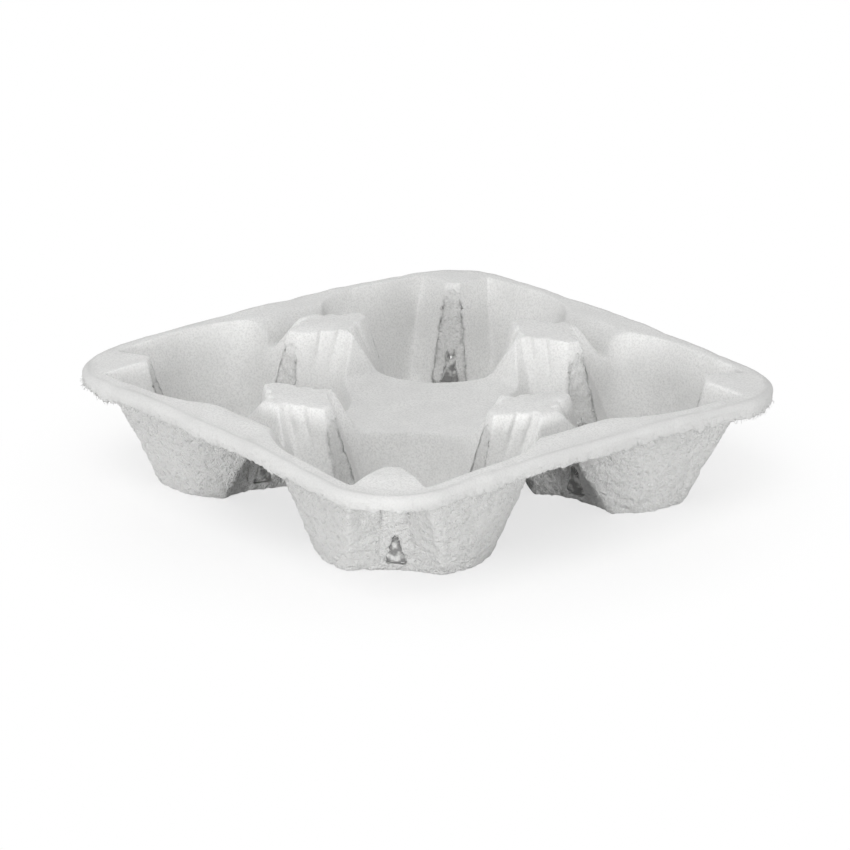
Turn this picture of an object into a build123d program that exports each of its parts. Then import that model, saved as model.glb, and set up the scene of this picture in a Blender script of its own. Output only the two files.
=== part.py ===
# Moulded pulp carrier for four take-away cups, drawn as one sheet of paper fibre.
from build123d import *
import math
import os

# Outline and sheet
side = 215.0
corner_radius = 32.0
rim_height = 47.0
tower_height = 49.0
sheet = 2.2
lip_height = 5.5
lip_chamfer = 2.0

# Wells: a round foot that opens into a rounded square at the rim
well_spacing = 107.5
foot_radius = 32.0
foot_flat = 0.5
mouth_outer = 46.5
mouth_inner = 53.0
mouth_corner_radius = 24.0
mouth_ridge_radius = 44.0
mouth_hub_radius = 52.0

# Fingers: three to a well, leaning in towards the foot
finger_angle = 120.0
web_foot_radius = 23.5
web_rim_radius = 36.0
web_foot_width = 17.0
web_rim_width = 6.0
shoulder_foot = (27.5, 21.0)
corner_flank_reach = 16.0
corner_flank_angle = 35.0
ridge_flank_reach = 25.0
hub_flank_angle = 45.0
side_flank_angle = 15.0
finger_reach = 90.0

# Grooves that part the flutes of the towers, placed by their share of the flank's length
hub_grooves = (0.28, 0.48)
side_grooves = (0.36, 0.62)
groove_width = 3.6
groove_floor = 0.8
groove_depth = 2.4
groove_foot_height = 27.0

# Ridges: hub, fluted tower, valley and shoulder, as distances from the middle
ridge_width = 52.0
hub_height = 31.0
hub_end = 41.0
hub_dish = 2.5
tower_start = 47.0
tower_end = 77.0
valley_at = 83.0
valley_height = 34.0
shoulder_at = 86.5
ridge_reach = 98.0
hub_round = 4.0
tower_round = 3.0
valley_round = 1.0
shoulder_round = 10.0

# Slits and torn window of a finger, measured up the web
slit = 0.9
web_set_back = 0.6
band_height = 5.0
slit_top = 46.0
window_width = 8.0
window_tip = 1.6
window_height = 12.0

well_radius = well_spacing / math.sqrt(2)
air_top = max(rim_height, tower_height) + sheet


def at_height(z, foot, rim):
    """A size at a height, on the straight line from the foot to the rim."""
    return foot + (rim - foot) * z / rim_height


def well_section(z, grow):
    """Level section of a well, its outer corner along +X, grown by the sheet for the lower face."""
    outer = at_height(z, foot_radius, mouth_outer) + grow
    inner = at_height(z, foot_radius, mouth_inner) + grow
    foot_round = foot_radius - foot_flat
    corner = at_height(z, foot_round, mouth_corner_radius) + grow
    ridge = at_height(z, foot_round, mouth_ridge_radius) + grow
    hub = at_height(z, foot_round, mouth_hub_radius) + grow
    with BuildSketch(Plane.XY.offset(z)) as section:
        with Locations(((outer - inner) / math.sqrt(2), 0)):
            Rectangle(outer + inner, outer + inner, rotation=45)
        fillet(section.vertices().sort_by(Axis.X)[-1], corner)
        fillet(section.vertices().sort_by(Axis.X)[0], hub)
        fillet(section.vertices().sort_by(Axis.Y)[0], ridge)
        fillet(section.vertices().sort_by(Axis.Y)[-1], ridge)
    return section.sketch


def flank_end(reach, angle):
    """Where a flank ends at the rim, seen from the finger's own axis."""
    across = web_rim_width / 2 + reach * math.tan(math.radians(angle))
    return (web_rim_radius + reach, across)


def finger_points(z, left_end, right_end):
    """The finger's outline at a height: web, two flanks and the open back."""
    web = at_height(z, web_foot_radius, web_rim_radius)
    half = at_height(z, web_foot_width, web_rim_width) / 2
    left = [at_height(z, a, b) for a, b in zip(shoulder_foot, left_end)]
    right = [at_height(z, a, b) for a, b in zip(shoulder_foot, right_end)]
    return [
        (web, half),
        (left[0], left[1]),
        (finger_reach, left[1]),
        (finger_reach, -right[1]),
        (right[0], -right[1]),
        (web, -half),
    ]


def on_flank(z, end, share):
    """A point of a flank at a height and a share of its length, with the ways it runs and faces there."""
    web, shoulder = [Vector(*point) for point in finger_points(z, end, end)[:2]]
    along = (shoulder - web).normalized()
    outward = Vector(-along.Y, along.X)
    return web + (shoulder - web) * share + Vector(0, 0, z), along, outward


def groove(end, share, grow):
    """The air of a groove that deepens from nothing at its foot to its full depth at the tower's top."""
    low = on_flank(groove_foot_height, end, share)[0]
    top, along, outward = on_flank(air_top, end, share)
    axis = top - outward * groove_depth - low
    with BuildPart() as air:
        with BuildSketch(Plane(origin=low, x_dir=along, z_dir=axis)):
            with BuildLine():
                Polyline(
                    (-groove_floor / 2, 0),
                    (groove_floor / 2, 0),
                    (groove_width / 2, groove_depth),
                    (-groove_width / 2, groove_depth),
                    close=True,
                )
            make_face()
            if grow:
                offset(amount=grow, kind=Kind.INTERSECTION, mode=Mode.REPLACE)
        extrude(amount=axis.length)
    return air.part


corner_end = flank_end(corner_flank_reach, corner_flank_angle)
hub_end_point = flank_end(ridge_flank_reach, hub_flank_angle)
side_end_point = flank_end(ridge_flank_reach, side_flank_angle)
fingers = [
    (0.0, corner_end, corner_end),
    (finger_angle, hub_end_point, side_end_point),
    (-finger_angle, side_end_point, hub_end_point),
]


def well_air(grow):
    """The open space of one well above the sheet, or above its lower face when grown by the sheet."""
    floor = 0.0 if grow else sheet
    with BuildPart() as air:
        loft([well_section(floor, grow), well_section(air_top, grow)], ruled=True)
        for angle, left_end, right_end in fingers:
            turned = Plane.XY.rotated((0, 0, angle))
            for z in (floor - sheet, air_top + sheet):
                with BuildSketch(turned.offset(z)):
                    with BuildLine():
                        Polyline(*finger_points(z, left_end, right_end), close=True)
                    make_face()
                    if grow:
                        offset(amount=-grow, kind=Kind.INTERSECTION, mode=Mode.REPLACE)
            loft(ruled=True, mode=Mode.SUBTRACT)
        for angle, left_end, right_end in fingers[1:]:
            for place in range(len(hub_grooves)):
                shares = {hub_end_point: hub_grooves[place], side_end_point: side_grooves[place]}
                left = groove(left_end, shares[left_end], grow)
                right = groove(right_end, shares[right_end], grow).mirror(Plane.XZ)
                with Locations(Location((0, 0, 0), angle)):
                    add([left, right])
    return air.part


def ridge_bar(grow):
    """A ridge across the tray, with hub, towers, valleys and shoulders, lowered by the sheet when grown."""
    with BuildPart() as bar:
        with BuildSketch(Plane.YZ) as profile:
            with BuildLine():
                Polyline(
                    (0, hub_height),
                    (hub_end, hub_height),
                    (tower_start, tower_height),
                    (tower_end, tower_height),
                    (valley_at, valley_height),
                    (shoulder_at, rim_height),
                    (side, rim_height),
                    (side, -side),
                    (0, -side),
                )
                mirror(about=Plane.YZ)
            make_face()
            for along, z, radius in (
                (hub_end, hub_height, hub_round),
                (tower_start, tower_height, tower_round),
                (tower_end, tower_height, tower_round),
                (valley_at, valley_height, valley_round),
                (shoulder_at, rim_height, shoulder_round),
            ):
                near = [v for v in profile.vertices() if math.dist((abs(v.X), v.Y), (along, z)) < sheet]
                fillet(near, radius)
            if grow:
                offset(amount=-grow, mode=Mode.REPLACE)
            Rectangle(2 * ridge_reach, side, align=(Align.CENTER, Align.MIN), mode=Mode.INTERSECT)
        extrude(amount=ridge_width / 2, both=True)
    return bar.part


def form(grow):
    """Everything under the sheet's upper face, or under its lower face when grown by the sheet."""
    air = well_air(grow)
    bar = ridge_bar(grow)
    with BuildPart() as body:
        with BuildSketch():
            RectangleRounded(side - 2 * grow, side - 2 * grow, corner_radius - grow)
        extrude(amount=rim_height - grow)
        if grow:
            with BuildSketch():
                RectangleRounded(side + sheet, side + sheet, corner_radius + sheet / 2)
            extrude(amount=rim_height - lip_height)
        else:
            chamfer(body.faces().sort_by(Axis.Z)[-1].edges(), lip_chamfer)
        with BuildSketch():
            Rectangle(2 * ridge_reach, ridge_width)
            Rectangle(ridge_width, 2 * ridge_reach)
        extrude(amount=rim_height, mode=Mode.SUBTRACT)
        with PolarLocations(0, 2, angular_range=180):
            add(bar)
        with BuildSketch(Plane.XZ):
            with BuildLine():
                dish = ThreePointArc(
                    (-hub_end, hub_height - grow),
                    (0, hub_height - hub_dish - grow),
                    (hub_end, hub_height - grow),
                )
                Line(dish @ 0, dish @ 1)
            make_face()
            Rectangle(side, side, align=(Align.MIN, Align.CENTER), mode=Mode.INTERSECT)
        revolve(axis=Axis.Z, mode=Mode.SUBTRACT)
        with PolarLocations(well_radius, 4, start_angle=45):
            add(air, mode=Mode.SUBTRACT)
    return body.part


def finger_cuts():
    """Slits beside and below a finger's web, the torn window in it and the step behind the flank edges."""
    lean = Vector(web_rim_radius - web_foot_radius, 0, rim_height)
    web_plane = Plane(origin=(web_foot_radius, 0, 0), x_dir=(0, 1, 0), z_dir=(lean.Z, 0, -lean.X))

    def half_width(up):
        return (web_foot_width + (web_rim_width - web_foot_width) * up / lean.length) / 2

    low, high = half_width(band_height), half_width(slit_top)
    with BuildPart() as cuts:
        with BuildSketch(web_plane.offset(-sheet)):
            with BuildLine():
                Polyline(
                    (low - slit, band_height),
                    (low, band_height),
                    (high, slit_top),
                    (high - slit, slit_top),
                    close=True,
                )
            make_face()
            mirror(about=Plane.YZ)
            with Locations((0, band_height)):
                Rectangle(2 * low - slit, slit, align=(Align.CENTER, Align.MIN))
            with BuildLine():
                Polyline(
                    (-window_width / 2, band_height),
                    (window_width / 2, band_height),
                    (window_tip / 2, band_height + window_height),
                    (-window_tip / 2, band_height + window_height),
                    close=True,
                )
            make_face()
        extrude(amount=sheet + sheet + slit)
        with BuildSketch(web_plane.offset(-sheet)):
            with BuildLine():
                Polyline(
                    (low, band_height),
                    (high, slit_top),
                    (-high, slit_top),
                    (-low, band_height),
                    close=True,
                )
            make_face()
        extrude(amount=sheet + web_set_back)
    return cuts.part


upper = form(0)
lower = form(sheet)
cuts = finger_cuts()

with BuildPart() as well_cuts:
    with PolarLocations(0, len(fingers)):
        add(cuts)

with BuildPart() as carrier_tray:
    add(upper)
    add(lower, mode=Mode.SUBTRACT)
    with PolarLocations(well_radius, 4, start_angle=45):
        add(well_cuts.part, mode=Mode.SUBTRACT)

carrier_tray.part.label = "carrier_tray"
os.makedirs("parts", exist_ok=True)
export_step(carrier_tray.part, "parts/carrier_tray.step")
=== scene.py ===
import math

import bmesh
import bpy
import numpy as np
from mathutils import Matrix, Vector


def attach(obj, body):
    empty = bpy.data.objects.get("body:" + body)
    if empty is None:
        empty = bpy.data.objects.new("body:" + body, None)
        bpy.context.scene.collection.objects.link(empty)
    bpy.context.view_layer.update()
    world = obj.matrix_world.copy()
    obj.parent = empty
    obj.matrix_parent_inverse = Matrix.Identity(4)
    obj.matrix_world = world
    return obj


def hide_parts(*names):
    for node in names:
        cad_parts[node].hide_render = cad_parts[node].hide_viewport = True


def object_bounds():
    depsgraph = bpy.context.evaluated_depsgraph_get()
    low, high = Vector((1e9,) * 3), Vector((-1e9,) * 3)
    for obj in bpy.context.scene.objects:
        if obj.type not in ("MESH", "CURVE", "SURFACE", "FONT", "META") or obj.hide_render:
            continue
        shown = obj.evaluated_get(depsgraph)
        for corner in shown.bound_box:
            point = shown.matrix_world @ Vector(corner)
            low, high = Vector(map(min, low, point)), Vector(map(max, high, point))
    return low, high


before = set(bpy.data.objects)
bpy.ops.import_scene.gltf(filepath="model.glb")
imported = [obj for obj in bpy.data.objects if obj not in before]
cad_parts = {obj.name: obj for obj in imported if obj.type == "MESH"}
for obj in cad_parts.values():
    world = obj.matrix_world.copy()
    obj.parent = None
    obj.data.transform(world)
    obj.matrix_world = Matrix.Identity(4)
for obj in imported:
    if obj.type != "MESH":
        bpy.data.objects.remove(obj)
cad_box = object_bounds()

# Sizes of the solid, in metres; heights up a leaning web are within 0.2 mm
SIDE = 0.215
CORNER_RADIUS = 0.032
RIM_HEIGHT = 0.047
LIP_HEIGHT = 0.0055
LIP_BOTTOM = RIM_HEIGHT - LIP_HEIGHT
SHEET = 0.0022
WELL_SPACING = 0.1075
FINGER_ANGLES = (0.0, 120.0, -120.0)
WEB_FOOT_RADIUS = 0.0235
WEB_RIM_RADIUS = 0.036
WEB_FOOT_HALF = 0.0085
WEB_RIM_HALF = 0.003
WEB_TOP = 0.0445
BAND_HEIGHT = 0.005
SLIT = 0.0009
WINDOW_HALF = 0.004
WINDOW_TOP = 0.0165

# Finish of the sheet
GRAIN_SIZE = 0.0005
ROUNDING_PASSES = 7
OUTSIDE_PASSES = 9
FLUTE_PASSES = 3
ROUNDING_STEP = 0.5
SHEET_TRIANGLES = 185000
CORNER_DIP = 0.0024
RIM_WAVE = 0.0013
LIP_RAG = 0.0026
EDGE_RAG = 0.0006
OUTSIDE_PITS = 0.00055
INSIDE_DENTS = 0.0003
WEB_TIP = 0.008

# Shares of the finish
SLIT_CLOSING = 0.75
WEB_FLUSH = 0.55
WINDOW_TAPER = 0.8
PIT_SHARE = 0.7
DENT_SHARE = 0.6
LEAST_FRAY, MORE_FRAY = 0.45, 0.75
RAG_MEAN, RAG_SWING = 0.5, 0.6
LIP_CALM = 0.7  # how much of the outside's finish the lip goes without
EDGE_FIBRES = 0.4  # fibres of the slits and windows, against those of the lip

# Where each change sets in and where it is full, in metres unless said otherwise
UNDERSIDE = (-0.15, 0.15)  # rise of the face's normal
TOWER_START = (0.038, 0.044)
TOWER_END = (0.080, 0.086)
TOWER_ACROSS = (0.026, 0.034)
TOWER_FOOT = (0.022, 0.027)
WEB_MIDDLE = 0.6 * SHEET
WEB_NEAR = (0.8 * SHEET, 1.3 * SHEET)
WEB_FRONT = (0.5 * SHEET, 0.9 * SHEET)
WEB_CAP = (WEB_TOP + 0.2 * SHEET, WEB_TOP + 0.6 * SHEET)
WEB_TIP_RISE = (WEB_TOP - WEB_TIP, WEB_TOP - 0.25 * WEB_TIP)
SLIT_NEAR = (0.3 * SLIT, 1.3 * SLIT)
WINDOW_NEAR = (0.5 * SLIT, 1.6 * SLIT)
LIP_NEAR = (1.2 * SHEET, 1.7 * SHEET)
LIP_TORN = (LIP_BOTTOM + 0.0002, LIP_BOTTOM + 0.0026)
LIP_FRAYED = (-0.1, 0.5)  # levels of the noise
RIM_SAG = (RIM_HEIGHT - 0.018, RIM_HEIGHT - 0.004)
CORNER_SAG = (0.47, 0.63)  # shares of the side, from the middle
EDGE_WAVE = (0.007, 0.016)

# Noise on the sheet: cells along its lattice, then each noise's width in metres, seed and octaves
NOISE_CELLS = 64
NOISE = {
    "pits": (0.0024, 3, 3),
    "dents": (0.009, 4, 2),
    "slow_dents": (0.013, 7, 2),
    "rim_wave": (0.030, 1, 1),
    "lip_fray": (0.014, 8, 1),
    "lip_rag": (0.0024, 2, 3),
    "edge_across": (0.0022, 5, 2),
    "edge_rise": (0.0022, 6, 2),
}

# Torn tongues that stand in the windows, bent into the wells
TONGUE_HALF = 0.0044
TONGUE_TIP_HALF = 0.0015
TONGUE_HEIGHT = 0.0124
TONGUE_LEAN = 0.12
TONGUE_THICKNESS = 0.0010
TONGUE_STEPS = 10
TONGUE_SINK = 0.5 * SHEET
TONGUE_SET_BACK = 0.7 * SHEET
TONGUE_NARROWING = 0.8
TONGUE_SHADE = 2.2

# Waves of a tongue's outline: size, turns along it and turn from one tongue to the next, in radians
TONGUE_WAVES = {
    "coarse": (0.22, 5.0, 1.7),
    "fine": (0.12, 11.0, 1.0),
    "narrowing": (0.2, 7.0, 1.0),
    "sway": (0.12 * TONGUE_HALF, 6.0, 2.3),
}

# Torn fibres on the lip, the slits and the windows
FIBRE_DENSITY = 520000.0
FIBRE_LENGTH = 0.0015
FIBRE_RADIUS = 0.00007
FIBRE_SEED = 11
FIBRE_SIZES = (0.3, 1.25)
FIBRE_CURVE = {"Start": (0.0, 0.0, -0.15), "Middle": (0.0, 0.15, 0.55), "End": (0.0, 0.65, 0.80)}
FIBRE_SWAY = {"Min": (-0.8, -0.8, -3.0), "Max": (0.8, 0.8, -0.6)}

# Pattern of the pulp: scale, detail and roughness of each noise, and the levels it is read between
PULP_NOISE = {
    "cloud": (70.0, 3.0, 0.5),
    "felt": (1300.0, 3.0, 0.65),
    "fleck": (900.0, 2.0, 0.5),
    "fibres": (650.0, 4.0, 0.65),
    "pits": (300.0, 3.0, 0.6),
    "breaks": (260.0, 2.0, 0.5),
}
CLOUD_LEVELS = (0.3, 0.7)
GRAIN_LEVELS = (0.30, 0.62)
FLECK_LEVELS = (0.66, 0.76)
HOLLOW_SHADE_LEVELS = (0.52, 0.70)
BREAK_LEVELS = (0.35, 0.6)

# Greys of the pulp, and how far each covers what is under it; the outside grey is painted light, the
# hollow, lip, web and slit greys are painted shade
WARMTH = 0.99  # blue, against red and green
PALE_GREYS = (0.80, 0.85)
GRAIN_GREY = 0.70
FLECK_GREY, FLECK_COVER = 0.50, 0.30
OUTSIDE_PAINTED_LIGHT_GREY, OUTSIDE_PAINTED_LIGHT_COVER = 0.92, 0.8
HOLLOW_SHADE_GREY, HOLLOW_SHADE_COVER = 0.50, 0.30
LIP_SHADE_GREY, LIP_SHADE_COVER = 0.60, 0.6
WEB_SHADE_GREY, WEB_SHADE_COVER = 0.46, 0.06
WEB_FADE = 0.7  # how much of that cover goes on the outside
SLIT_SHADE_GREY, SLIT_SHADE_COVER = 0.28, 0.48

# Relief of the pulp, in metres, with the share of it on a web, and its shine
PIT_RELIEF = 0.0042
FIBRE_RELIEF = 0.0019
FELT_RELIEF = 0.00026
WEB_RELIEF = 0.3
PULP_ROUGHNESS = 0.95
PULP_SHINE = 0.15

# Floor and lights; a light has its turn from the camera, elevation, distance, size and power
FLOOR_REACH = 6.0
FLOOR_GREY = 0.97
SHADOW_SHARE = 0.30
SHADOW_FADE = (0.10, 0.18)
SURROUND = 0.45
LIGHTS = {
    "overhead": (-30.0, 62.0, 1.6, 1.0, 10.0),
    "left_fill": (-38.0, 5.0, 1.8, 0.5, 11.5),
    "right_fill": (38.0, 5.0, 1.8, 0.5, 11.0),
    "back_fill": (180.0, 14.0, 1.8, 0.8, 8.0),
}
WHITE = (1.0, 1.0, 1.0, 1.0)

# Camera, close to the photograph's viewing angle
VIEW_AZIMUTH = 51.0
VIEW_ELEVATION = 20.0
VIEW_DISTANCE = 1.50
VIEW_LENS = 158.0
VIEW_TARGET = Vector((0.0, 0.0, 0.022))


def mesh_arrays(mesh):
    """Points and edges of a mesh as arrays."""
    points = np.empty(len(mesh.vertices) * 3)
    mesh.vertices.foreach_get("co", points)
    edges = np.empty(len(mesh.edges) * 2, dtype=np.int64)
    mesh.edges.foreach_get("vertices", edges)
    return points.reshape(-1, 3), edges.reshape(-1, 2)


def set_points(mesh, points):
    mesh.vertices.foreach_set("co", np.ascontiguousarray(points).ravel())
    mesh.update()


def in_cad_box(points):
    """The points, with none outside the box of the solid."""
    return np.clip(points, np.array(cad_box[0]), np.array(cad_box[1]))


def vertex_normals(mesh):
    normals = np.empty(len(mesh.vertices) * 3)
    mesh.vertices.foreach_get("normal", normals)
    return normals.reshape(-1, 3)


def shade_smooth(mesh):
    for polygon in mesh.polygons:
        polygon.use_smooth = True


def smooth_step(low, high, value):
    """0 below the low value and 1 above the high one, with a soft rise between them."""
    share = np.clip((value - low) / (high - low), 0.0, 1.0)
    return share * share * (3.0 - 2.0 * share)


def noise_field(points, name):
    """Smooth noise at each point, from about -1 to 1, as the table of noises gives it."""
    size, seed, octaves = NOISE[name]
    cells = np.random.default_rng(seed).uniform(-1.0, 1.0, (NOISE_CELLS, NOISE_CELLS, NOISE_CELLS))
    total = np.zeros(len(points))
    for octave in range(octaves):
        place = points * 2.0**octave / size
        base = np.floor(place).astype(np.int64)
        share = place - base
        share = share * share * (3.0 - 2.0 * share)
        for corner in np.ndindex(2, 2, 2):
            index = (base + corner) % NOISE_CELLS
            weight = np.prod(np.where(corner, share, 1.0 - share), axis=1)
            total += weight * cells[index[:, 0], index[:, 1], index[:, 2]] / 2.0**octave
    return total


def evaluated_copy(piece, name):
    """A plain mesh of a piece with its modifiers applied."""
    graph = bpy.context.evaluated_depsgraph_get()
    mesh = bpy.data.meshes.new_from_object(piece.evaluated_get(graph), depsgraph=graph)
    mesh.name = name
    return mesh


def new_piece(name, data):
    piece = bpy.data.objects.new(name, data)
    bpy.context.scene.collection.objects.link(piece)
    return piece


def relax(points, edges, passes, weight=1.0):
    """Rounds creases the way wet pulp does, each point drifting to the mean of its neighbours."""
    count = len(points)
    first, second = edges[:, 0], edges[:, 1]
    degree = np.bincount(first, minlength=count) + np.bincount(second, minlength=count)
    drift = ROUNDING_STEP * np.broadcast_to(weight, count)[:, None]
    for _ in range(passes):
        mean = np.empty_like(points)
        for axis in range(3):
            forward = np.bincount(first, points[second, axis], count)
            backward = np.bincount(second, points[first, axis], count)
            mean[:, axis] = (forward + backward) / degree
        points = points + drift * (mean - points)
    return points


def outline_depth(points):
    """How far each point lies inside the rounded square outline of the rim."""
    straight = SIDE / 2 - CORNER_RADIUS
    over = np.maximum(np.abs(points[:, :2]) - straight, 0.0)
    in_corner = CORNER_RADIUS - np.hypot(over[:, 0], over[:, 1])
    to_side = SIDE / 2 - np.max(np.abs(points[:, :2]), axis=1)
    return np.where((over > 0).all(axis=1), in_corner, to_side)


def web_radius(height):
    """How far a finger's web stands from its well's axis at a height."""
    return WEB_FOOT_RADIUS + (WEB_RIM_RADIUS - WEB_FOOT_RADIUS) * height / RIM_HEIGHT


def web_half(height):
    """Half a web's width at a height."""
    return WEB_FOOT_HALF + (WEB_RIM_HALF - WEB_FOOT_HALF) * height / RIM_HEIGHT


def fingers():
    """The well's axis and the finger's turn, for each of the twelve fingers."""
    for quarter in range(4):
        well_turn = math.radians(45 + 90 * quarter)
        axis = WELL_SPACING / math.sqrt(2) * np.array([math.cos(well_turn), math.sin(well_turn)])
        for angle in FINGER_ANGLES:
            yield axis, well_turn + math.radians(angle)


def finger_places(points):
    """Each point's place on the nearest finger: across its web, behind the web's face, and its turn."""
    nearest = np.full(len(points), np.inf)
    places = np.zeros((len(points), 3))
    for axis, turn in fingers():
        offset = points[:, :2] - axis
        behind = offset[:, 0] * math.cos(turn) + offset[:, 1] * math.sin(turn) - web_radius(points[:, 2])
        across = offset[:, 1] * math.cos(turn) - offset[:, 0] * math.sin(turn)
        distance = np.hypot(behind, across)
        nearer = distance < nearest
        nearest[nearer] = distance[nearer]
        places[nearer, 0] = across[nearer]
        places[nearer, 1] = behind[nearer]
        places[nearer, 2] = turn
    return places


def tower_share(points):
    """1 on the four fluted towers, fading to 0 round them."""
    flat = np.abs(points[:, :2])
    along, across = flat.max(axis=1), flat.min(axis=1)
    share = smooth_step(*TOWER_START, along) * (1.0 - smooth_step(*TOWER_END, along))
    return share * (1.0 - smooth_step(*TOWER_ACROSS, across)) * smooth_step(*TOWER_FOOT, points[:, 2])


def finger_marks(points, places):
    """Shares from 0 to 1 for the web's face, the slits round it and the edges of its window."""
    across, behind, height = np.abs(places[:, 0]), places[:, 1], points[:, 2]
    half = web_half(height)
    near = 1.0 - smooth_step(*WEB_NEAR, np.abs(behind - WEB_MIDDLE))
    tall = smooth_step(BAND_HEIGHT - SLIT, BAND_HEIGHT, height)
    tall *= 1.0 - smooth_step(WEB_TOP - SLIT, WEB_TOP, height)
    to_tip = np.clip(1.0 + (height - WEB_TOP) / WEB_TIP, 0.0, 1.0)
    web = near * tall * (1.0 - smooth_step(-SLIT, 0.0, across - half * np.sqrt(1.0 - to_tip**2)))

    beside = 1.0 - smooth_step(*SLIT_NEAR, np.abs(across - half + SLIT / 2))
    below = 1.0 - smooth_step(*SLIT_NEAR, np.abs(height - BAND_HEIGHT - SLIT / 2))
    below *= 1.0 - smooth_step(-SLIT, SLIT, across - half)
    slit = near * np.maximum(beside * tall, below)

    up = np.clip((height - BAND_HEIGHT) / (WINDOW_TOP - BAND_HEIGHT), 0.0, 1.0)
    window = 1.0 - smooth_step(*WINDOW_NEAR, np.abs(across - WINDOW_HALF * (1.0 - WINDOW_TAPER * up)))
    window *= near * tall * (1.0 - smooth_step(WINDOW_TOP, WINDOW_TOP + SLIT, height))
    return web, slit, window


def add_attribute(mesh, name, values):
    layer = mesh.attributes.new(name, "FLOAT", "POINT")
    layer.data.foreach_set("value", np.asarray(values, dtype=np.float32))


def carrier_sheet():
    """The moulded sheet: the solid's own form with pulp-soft edges, a wavy rim and a ragged lip."""
    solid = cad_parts["carrier_tray"]
    welded = bmesh.new()
    welded.from_mesh(solid.data)
    bmesh.ops.remove_doubles(welded, verts=welded.verts, dist=1e-6)
    mesh = bpy.data.meshes.new("carrier_form")
    welded.to_mesh(mesh)
    welded.free()
    form = new_piece("carrier_form", mesh)

    grain = form.modifiers.new("grain", "REMESH")
    grain.mode = "VOXEL"
    grain.voxel_size = GRAIN_SIZE
    dense = evaluated_copy(form, "carrier_dense")
    form.modifiers.remove(grain)
    form.data = dense
    shape_sheet(dense)

    dense.calc_loop_triangles()
    thin = form.modifiers.new("thin", "DECIMATE")
    thin.ratio = SHEET_TRIANGLES / len(dense.loop_triangles)
    sheet = evaluated_copy(form, "carrier_sheet")
    bpy.data.objects.remove(form)
    set_points(sheet, in_cad_box(mesh_arrays(sheet)[0]))
    shade_smooth(sheet)
    return new_piece("carrier_sheet", sheet)


def shape_sheet(sheet):
    """Softens the form, sets its waves, tears and rough outer face, and marks them for the finish."""
    points, edges = mesh_arrays(sheet)
    points = relax(points, edges, ROUNDING_PASSES)
    set_points(sheet, points)
    outside = 1.0 - smooth_step(*UNDERSIDE, vertex_normals(sheet)[:, 2])
    places = finger_places(points)
    web, slit, window = finger_marks(points, places)
    web_end = (np.abs(points[:, 2] - WEB_TOP) < SHEET) * (places[:, 1] < WEB_MIDDLE)
    web_end = web_end * (np.abs(places[:, 0]) < WEB_RIM_HALF + SHEET)
    outside = outside * (1.0 - np.maximum(tower_share(points), web_end))
    whole = 1.0 - np.maximum(slit, window)
    points = relax(points, edges, OUTSIDE_PASSES, outside * whole)
    points = relax(points, edges, FLUTE_PASSES, tower_share(points) * (1.0 - web) * whole)
    set_points(sheet, points)
    normals = vertex_normals(sheet)

    depth = outline_depth(points)
    on_lip = (1.0 - smooth_step(*LIP_NEAR, depth)) * (points[:, 2] > LIP_BOTTOM - SHEET)
    torn = on_lip * (1.0 - smooth_step(*LIP_TORN, points[:, 2]))

    pits = np.maximum(outside, web) * PIT_SHARE * noise_field(points, "pits")
    dents = np.maximum(outside, on_lip) * DENT_SHARE * noise_field(points, "dents")
    rough = OUTSIDE_PITS * (pits + dents)
    slow = INSIDE_DENTS * (1.0 - outside) * noise_field(points, "slow_dents")
    moved = points + normals * (rough + slow)[:, None]
    moved += ragged_edges(points, places, slit, np.maximum(slit, window))
    moved[:, 2] -= rim_drop(points, depth)
    frayed = LEAST_FRAY + MORE_FRAY * smooth_step(*LIP_FRAYED, noise_field(points, "lip_fray"))
    moved[:, 2] -= torn * frayed * LIP_RAG * (RAG_MEAN + RAG_SWING * noise_field(points, "lip_rag"))
    set_points(sheet, in_cad_box(moved))

    # These marks also place painted light on the outside and painted shade on the lip, the webs and the
    # slits.
    add_attribute(sheet, "outside", outside * (1.0 - LIP_CALM * on_lip))
    add_attribute(sheet, "lip", on_lip)
    add_attribute(sheet, "web", web)
    below_tip = 1.0 - smooth_step(WEB_TOP - WEB_TIP, WEB_TOP, points[:, 2])
    add_attribute(sheet, "slit", slit * below_tip * (1.0 - outside))
    add_attribute(sheet, "torn", np.maximum(torn, EDGE_FIBRES * np.maximum(slit, window)))


def ragged_edges(points, places, slit, edge):
    """Draws the slits nearly shut, brings the web forward and makes the edges look torn, not cut."""
    behind, turn, side = places[:, 1], places[:, 2], np.sign(places[:, 0])
    half = web_half(points[:, 2])
    from_slit = places[:, 0] - side * (half - SLIT / 2)
    at_tip = smooth_step(*WEB_TIP_RISE, points[:, 2])
    front = (behind > 0.0) * (1.0 - smooth_step(*WEB_FRONT, behind))
    front *= (1.0 - smooth_step(0.0, SLIT, np.abs(places[:, 0]) - half)) * (points[:, 2] > BAND_HEIGHT)
    front *= 1.0 - smooth_step(*WEB_CAP, points[:, 2])
    forward = front * behind * (WEB_FLUSH + (1.0 - WEB_FLUSH) * at_tip)
    closing = (SLIT_CLOSING + (1.0 - SLIT_CLOSING) * at_tip) * slit * (np.abs(from_slit) < 2 * SLIT)
    across = noise_field(points, "edge_across") * edge * EDGE_RAG - closing * from_slit
    rise = noise_field(points, "edge_rise") * edge * EDGE_RAG
    x = -np.sin(turn) * across - np.cos(turn) * forward
    y = np.cos(turn) * across - np.sin(turn) * forward
    return np.stack([x, y, rise], axis=1)


def rim_drop(points, depth):
    """How far the rim sags: most at the four corners, and in slow waves along the sides."""
    high = smooth_step(*RIM_SAG, points[:, 2])
    corner = smooth_step(*CORNER_SAG, np.hypot(points[:, 0], points[:, 1]) / SIDE)
    near_edge = 1.0 - smooth_step(*EDGE_WAVE, depth)
    wave = 0.5 + 0.5 * noise_field(points, "rim_wave")
    return high * (CORNER_DIP * corner + RIM_WAVE * near_edge * wave)


def tongue_wave(name, place, number):
    """A wave of a tongue's outline at each place, different from tongue to tongue."""
    size, turns, turn = TONGUE_WAVES[name]
    return size * np.sin(turns * place + turn * number)


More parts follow.
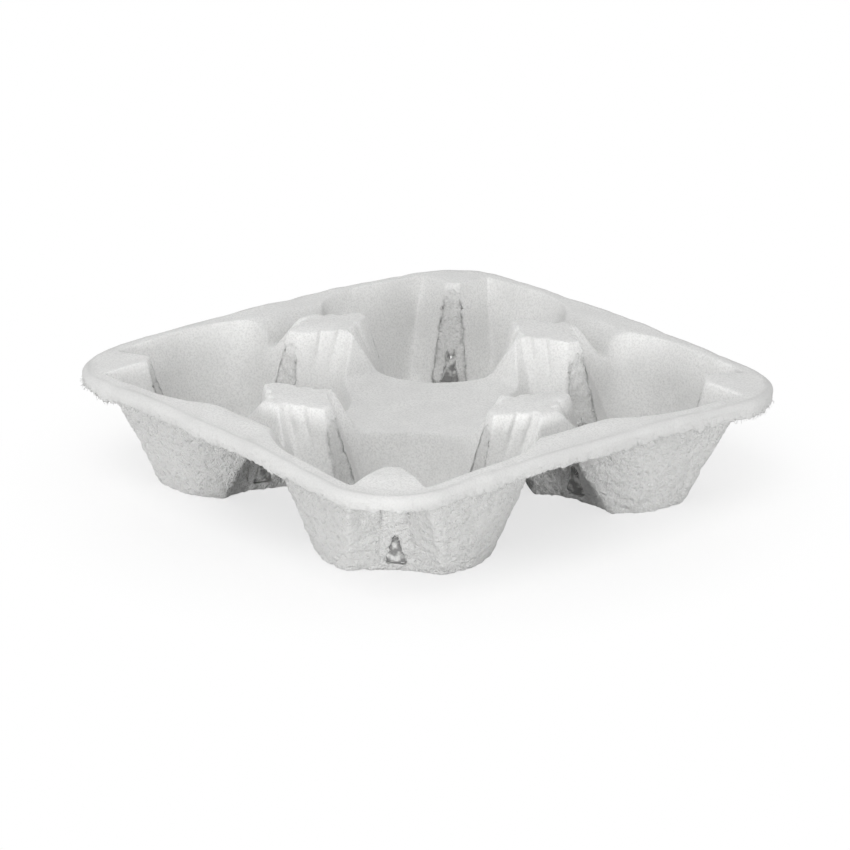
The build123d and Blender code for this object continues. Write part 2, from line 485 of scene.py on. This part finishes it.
def torn_tongues(material):
    """The pulp torn out of the windows: a ragged tongue on each foot band, bent into its well."""
    rows, columns = np.linspace(0.0, 1.0, TONGUE_STEPS), np.linspace(-1.0, 1.0, TONGUE_STEPS)
    up, out = np.meshgrid(rows, columns, indexing="ij")
    points, faces = [], []
    for number, (axis, turn) in enumerate(fingers()):
        ragged = 1.0 + tongue_wave("coarse", out, number) * up + tongue_wave("fine", out, number) * up
        narrowing = TONGUE_NARROWING + tongue_wave("narrowing", up, number)
        half = TONGUE_HALF + (TONGUE_TIP_HALF - TONGUE_HALF) * up * narrowing
        height = BAND_HEIGHT - TONGUE_SINK + TONGUE_HEIGHT * up * ragged
        lean = TONGUE_LEAN * TONGUE_HEIGHT * up * up - TONGUE_SET_BACK
        radius = web_radius(height) - lean
        across = out * half + tongue_wave("sway", up, number)
        x = axis[0] + radius * math.cos(turn) - across * math.sin(turn)
        y = axis[1] + radius * math.sin(turn) + across * math.cos(turn)
        first = len(points)
        points += list(zip(x.ravel(), y.ravel(), height.ravel()))
        for row in range(TONGUE_STEPS - 1):
            for column in range(TONGUE_STEPS - 1):
                a = first + row * TONGUE_STEPS + column
                faces.append((a, a + 1, a + TONGUE_STEPS + 1, a + TONGUE_STEPS))
    mesh = bpy.data.meshes.new("tongue_sheets")
    mesh.from_pydata(points, [], faces)
    source = new_piece("tongue_source", mesh)
    body = source.modifiers.new("thickness", "SOLIDIFY")
    body.thickness = TONGUE_THICKNESS
    body.offset = 0.0
    soft = source.modifiers.new("soft", "SUBSURF")
    soft.levels = soft.render_levels = 1
    finished = evaluated_copy(source, "torn_tongues")
    bpy.data.objects.remove(source)
    # The tongues take the painted shade of a web and, stronger, that of a slit.
    add_attribute(finished, "web", np.ones(len(finished.vertices)))
    add_attribute(finished, "slit", np.full(len(finished.vertices), TONGUE_SHADE))
    shade_smooth(finished)
    finished.materials.append(material)
    return new_piece("torn_tongues", finished)


def fibre_tree(material):
    """Geometry nodes that grow short bent fibres where the sheet is torn."""
    tree = bpy.data.node_groups.new("torn_fibres", "GeometryNodeTree")
    tree.interface.new_socket("Geometry", in_out="INPUT", socket_type="NodeSocketGeometry")
    for name in ("Density", "Length", "Radius"):
        tree.interface.new_socket(name, in_out="INPUT", socket_type="NodeSocketFloat")
    tree.interface.new_socket("Seed", in_out="INPUT", socket_type="NodeSocketInt")
    tree.interface.new_socket("Geometry", in_out="OUTPUT", socket_type="NodeSocketGeometry")
    given = tree.nodes.new("NodeGroupInput")
    result = tree.nodes.new("NodeGroupOutput")

    torn = tree.nodes.new("GeometryNodeInputNamedAttribute")
    torn.data_type = "FLOAT"
    torn.inputs["Name"].default_value = "torn"
    share = tree.nodes.new("ShaderNodeMath")
    share.operation = "MULTIPLY"
    scatter = tree.nodes.new("GeometryNodeDistributePointsOnFaces")

    strand = tree.nodes.new("GeometryNodeCurveQuadraticBezier")
    strand.inputs["Resolution"].default_value = 4
    for end, point in FIBRE_CURVE.items():
        strand.inputs[end].default_value = point
    scaled = tree.nodes.new("GeometryNodeTransform")
    section = tree.nodes.new("GeometryNodeCurvePrimitiveCircle")
    section.inputs["Resolution"].default_value = 3
    tube = tree.nodes.new("GeometryNodeCurveToMesh")

    sway = tree.nodes.new("FunctionNodeRandomValue")
    sway.data_type = "FLOAT_VECTOR"
    for limit, direction in FIBRE_SWAY.items():
        sway.inputs[limit].default_value = direction
    lean = tree.nodes.new("ShaderNodeVectorMath")
    lean.operation = "ADD"
    align = tree.nodes.new("FunctionNodeAlignRotationToVector")
    align.axis = "Z"
    size = tree.nodes.new("FunctionNodeRandomValue")
    size.data_type = "FLOAT"
    size.inputs[2].default_value, size.inputs[3].default_value = FIBRE_SIZES
    place = tree.nodes.new("GeometryNodeInstanceOnPoints")
    realize = tree.nodes.new("GeometryNodeRealizeInstances")
    paint = tree.nodes.new("GeometryNodeSetMaterial")
    paint.inputs["Material"].default_value = material

    link = tree.links.new
    link(torn.outputs["Attribute"], share.inputs[0])
    link(given.outputs["Density"], share.inputs[1])
    link(given.outputs["Geometry"], scatter.inputs["Mesh"])
    link(share.outputs[0], scatter.inputs["Density"])
    link(given.outputs["Seed"], scatter.inputs["Seed"])
    link(strand.outputs["Curve"], scaled.inputs["Geometry"])
    link(given.outputs["Length"], scaled.inputs["Scale"])
    link(given.outputs["Radius"], section.inputs["Radius"])
    link(scaled.outputs["Geometry"], tube.inputs["Curve"])
    link(section.outputs["Curve"], tube.inputs["Profile Curve"])
    link(scatter.outputs["Normal"], lean.inputs[0])
    link(sway.outputs["Value"], lean.inputs[1])
    link(lean.outputs["Vector"], align.inputs["Vector"])
    link(scatter.outputs["Points"], place.inputs["Points"])
    link(tube.outputs["Mesh"], place.inputs["Instance"])
    link(align.outputs["Rotation"], place.inputs["Rotation"])
    link(size.outputs[1], place.inputs["Scale"])
    link(place.outputs["Instances"], realize.inputs["Geometry"])
    link(realize.outputs["Geometry"], paint.inputs["Geometry"])
    link(paint.outputs["Geometry"], result.inputs["Geometry"])
    return tree


def torn_fibres(sheet, material):
    """Fine fibres that stand out of the torn lip, slits and windows, kept inside the tray's own box."""
    source = new_piece("fibre_source", sheet.data)
    growth = source.modifiers.new("fibres", "NODES")
    growth.node_group = fibre_tree(material)
    values = {"Density": FIBRE_DENSITY, "Length": FIBRE_LENGTH, "Radius": FIBRE_RADIUS, "Seed": FIBRE_SEED}
    for socket in growth.node_group.interface.items_tree:
        if socket.in_out == "INPUT" and socket.name in values:
            growth[socket.identifier] = values[socket.name]
    mesh = evaluated_copy(source, "torn_fibres")
    bpy.data.objects.remove(source)
    set_points(mesh, in_cad_box(mesh_arrays(mesh)[0]))
    return new_piece("torn_fibres", mesh)


class Nodes:
    """Shorthand for building the node tree of a material or world."""

    def __init__(self, owner):
        owner.use_nodes = True
        self.tree = owner.node_tree
        self.tree.nodes.clear()

    def fill(self, socket, value):
        if isinstance(value, bpy.types.NodeSocket):
            self.tree.links.new(value, socket)
        else:
            socket.default_value = value

    def add(self, kind, settings=None, **inputs):
        node = self.tree.nodes.new(kind)
        for key, value in (settings or {}).items():
            setattr(node, key, value)
        for key, value in inputs.items():
            self.fill(node.inputs[key.replace("_", " ")], value)
        return node

    def math(self, operation, a, b):
        node = self.add("ShaderNodeMath", {"operation": operation})
        self.fill(node.inputs[0], a)
        self.fill(node.inputs[1], b)
        return node.outputs[0]

    def mix_colour(self, factor, a, b):
        node = self.add("ShaderNodeMix", {"data_type": "RGBA"}, Factor=factor)
        self.fill(node.inputs[6], a)
        self.fill(node.inputs[7], b)
        return node.outputs[2]

    def mix_shader(self, factor, a, b):
        node = self.add("ShaderNodeMixShader")
        self.fill(node.inputs[0], factor)
        self.fill(node.inputs[1], a)
        self.fill(node.inputs[2], b)
        return node.outputs[0]

    def noise(self, place, scale, detail, roughness):
        node = self.add("ShaderNodeTexNoise", Vector=place, Scale=scale, Detail=detail, Roughness=roughness)
        return node.outputs["Fac"]

    def ramp(self, value, low, high):
        node = self.add("ShaderNodeMapRange", {"interpolation_type": "SMOOTHSTEP"}, Value=value)
        node.inputs["From Min"].default_value = low
        node.inputs["From Max"].default_value = high
        return node.outputs["Result"]

    def attribute(self, name):
        return self.add("ShaderNodeAttribute", {"attribute_name": name}).outputs["Fac"]


def grey(level):
    """A grey of the pulp, a little warm."""
    return (level, level, WARMTH * level, 1.0)


def pulp_material():
    """Felted paper pulp: fine grain inside, pitted and wrinkled outside, with painted light on the outside
    and painted shade in its hollows, on the lip, on the webs and in the slits.
    """
    material = bpy.data.materials.new("pulp")
    nodes = Nodes(material)
    place = nodes.add("ShaderNodeTexCoord").outputs["Object"]
    outside, lip = nodes.attribute("outside"), nodes.attribute("lip")
    web, slit = nodes.attribute("web"), nodes.attribute("slit")

    noise = {name: nodes.noise(place, *values) for name, values in PULP_NOISE.items()}

    def covered(under, share, cover, level):
        return nodes.mix_colour(nodes.math("MULTIPLY", share, cover), under, grey(level))

    cloud = nodes.ramp(noise["cloud"], *CLOUD_LEVELS)
    fleck = nodes.ramp(noise["fleck"], *FLECK_LEVELS)
    grain = nodes.ramp(noise["felt"], *GRAIN_LEVELS)
    hollow_shade_mask = nodes.ramp(nodes.math("SUBTRACT", 1.0, noise["fibres"]), *HOLLOW_SHADE_LEVELS)
    breaks = nodes.ramp(noise["breaks"], *BREAK_LEVELS)

    pale = nodes.mix_colour(cloud, *[grey(level) for level in PALE_GREYS])
    grained = nodes.mix_colour(grain, grey(GRAIN_GREY), pale)
    flecked = covered(grained, fleck, FLECK_COVER, FLECK_GREY)
    # Painted light: the outer faces, which the lamps reach less, are made paler.
    outside_painted_light = covered(flecked, outside, OUTSIDE_PAINTED_LIGHT_COVER, OUTSIDE_PAINTED_LIGHT_GREY)
    # Painted shade: the low places of the fibre relief on the outside are darkened.
    hollows_shaded = covered(outside_painted_light, nodes.math("MULTIPLY", hollow_shade_mask, outside), HOLLOW_SHADE_COVER, HOLLOW_SHADE_GREY)
    # Painted shade: the lip band is darkened.
    lip_shaded = covered(hollows_shaded, lip, LIP_SHADE_COVER, LIP_SHADE_GREY)
    # Painted shade: the webs, set back and upright in the wells, are darkened, most of all on the inside.
    inside = nodes.math("SUBTRACT", 1.0, nodes.math("MULTIPLY", outside, WEB_FADE))
    web_shaded = covered(lip_shaded, nodes.math("MULTIPLY", web, inside), WEB_SHADE_COVER, WEB_SHADE_GREY)
    # Painted shade: the slits are darkened in broken lines, and the torn tongues darker still.
    slit_shaded = covered(web_shaded, nodes.math("MULTIPLY", slit, breaks), SLIT_SHADE_COVER, SLIT_SHADE_GREY)

    coarse = nodes.math("MAXIMUM", outside, nodes.math("MULTIPLY", web, WEB_RELIEF))
    pitted = nodes.math("MULTIPLY", noise["pits"], PIT_RELIEF)
    fibrous = nodes.math("MULTIPLY", noise["fibres"], FIBRE_RELIEF)
    felted = nodes.math("MULTIPLY", noise["felt"], FELT_RELIEF)
    wrinkles = nodes.math("MULTIPLY", nodes.math("ADD", pitted, fibrous), coarse)
    relief = nodes.math("ADD", wrinkles, felted)
    bump = nodes.add("ShaderNodeBump", Height=relief, Strength=1.0, Distance=1.0)

    shader = nodes.add("ShaderNodeBsdfPrincipled", Base_Color=slit_shaded, Normal=bump.outputs["Normal"])
    shader.inputs["Roughness"].default_value = PULP_ROUGHNESS
    shader.inputs["Specular IOR Level"].default_value = PULP_SHINE
    nodes.add("ShaderNodeOutputMaterial", Surface=shader.outputs["BSDF"])
    return material


def floor_material():
    """White floor that keeps the tray's soft shadow and is plain white to the camera further out."""
    material = bpy.data.materials.new("white_floor")
    nodes = Nodes(material)
    place = nodes.add("ShaderNodeTexCoord").outputs["Object"]
    distance = nodes.add("ShaderNodeVectorMath", {"operation": "LENGTH"})
    nodes.fill(distance.inputs[0], place)
    far = nodes.ramp(distance.outputs["Value"], *SHADOW_FADE)
    shadow_share = nodes.math("MULTIPLY", nodes.math("SUBTRACT", 1.0, far), SHADOW_SHARE)
    camera_ray = nodes.add("ShaderNodeLightPath").outputs["Is Camera Ray"]
    diffuse = (FLOOR_GREY, FLOOR_GREY, FLOOR_GREY, 1.0)
    plain = nodes.add("ShaderNodeBsdfDiffuse", Color=diffuse).outputs["BSDF"]
    white = nodes.add("ShaderNodeEmission", Color=WHITE, Strength=1.0).outputs["Emission"]
    seen = nodes.mix_shader(shadow_share, white, plain)
    nodes.add("ShaderNodeOutputMaterial", Surface=nodes.mix_shader(camera_ray, plain, seen))
    return material


def floor():
    mesh = bpy.data.meshes.new("floor")
    corners = [(x * FLOOR_REACH, y * FLOOR_REACH, 0.0) for x, y in ((-1, -1), (1, -1), (1, 1), (-1, 1))]
    mesh.from_pydata(corners, [], [(0, 1, 2, 3)])
    piece = new_piece("floor", mesh)
    mesh.materials.append(floor_material())


def view_direction(azimuth, elevation):
    """From the object towards the camera."""
    a, e = math.radians(azimuth), math.radians(elevation)
    return Vector((math.sin(a) * math.cos(e), -math.cos(a) * math.cos(e), math.sin(e)))


def aim(piece, target):
    piece.rotation_euler = (target - piece.location).to_track_quat("-Z", "Y").to_euler()


def camera():
    data = bpy.data.cameras.new("camera")
    data.lens = VIEW_LENS
    piece = new_piece("camera", data)
    piece.location = VIEW_TARGET + VIEW_DISTANCE * view_direction(VIEW_AZIMUTH, VIEW_ELEVATION)
    aim(piece, VIEW_TARGET)
    bpy.context.scene.camera = piece


def soft_box(name, azimuth, elevation, distance, size, power):
    data = bpy.data.lights.new(name, "AREA")
    data.shape = "SQUARE"
    data.size = size
    data.energy = power
    piece = new_piece(name, data)
    piece.location = VIEW_TARGET + distance * view_direction(azimuth, elevation)
    aim(piece, VIEW_TARGET)


def studio():
    """Soft white studio light: a broad overhead box, low fills in front and behind and a white surround."""
    for name, (turn, elevation, distance, size, power) in LIGHTS.items():
        soft_box(name, VIEW_AZIMUTH + turn, elevation, distance, size, power)
    world = bpy.data.worlds.new("white_surround")
    bpy.context.scene.world = world
    nodes = Nodes(world)
    lighting = nodes.add("ShaderNodeBackground", Color=WHITE, Strength=SURROUND).outputs["Background"]
    backdrop = nodes.add("ShaderNodeBackground", Color=WHITE, Strength=1.0).outputs["Background"]
    camera_ray = nodes.add("ShaderNodeLightPath").outputs["Is Camera Ray"]
    nodes.add("ShaderNodeOutputWorld", Surface=nodes.mix_shader(camera_ray, lighting, backdrop))


pulp = pulp_material()
sheet = carrier_sheet()
sheet.data.materials.clear()
sheet.data.materials.append(pulp)
for piece in (sheet, torn_tongues(pulp), torn_fibres(sheet, pulp)):
    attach(piece, "root")
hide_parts("carrier_tray")

floor()
studio()
camera()
bpy.context.scene.view_settings.view_transform = "Standard"
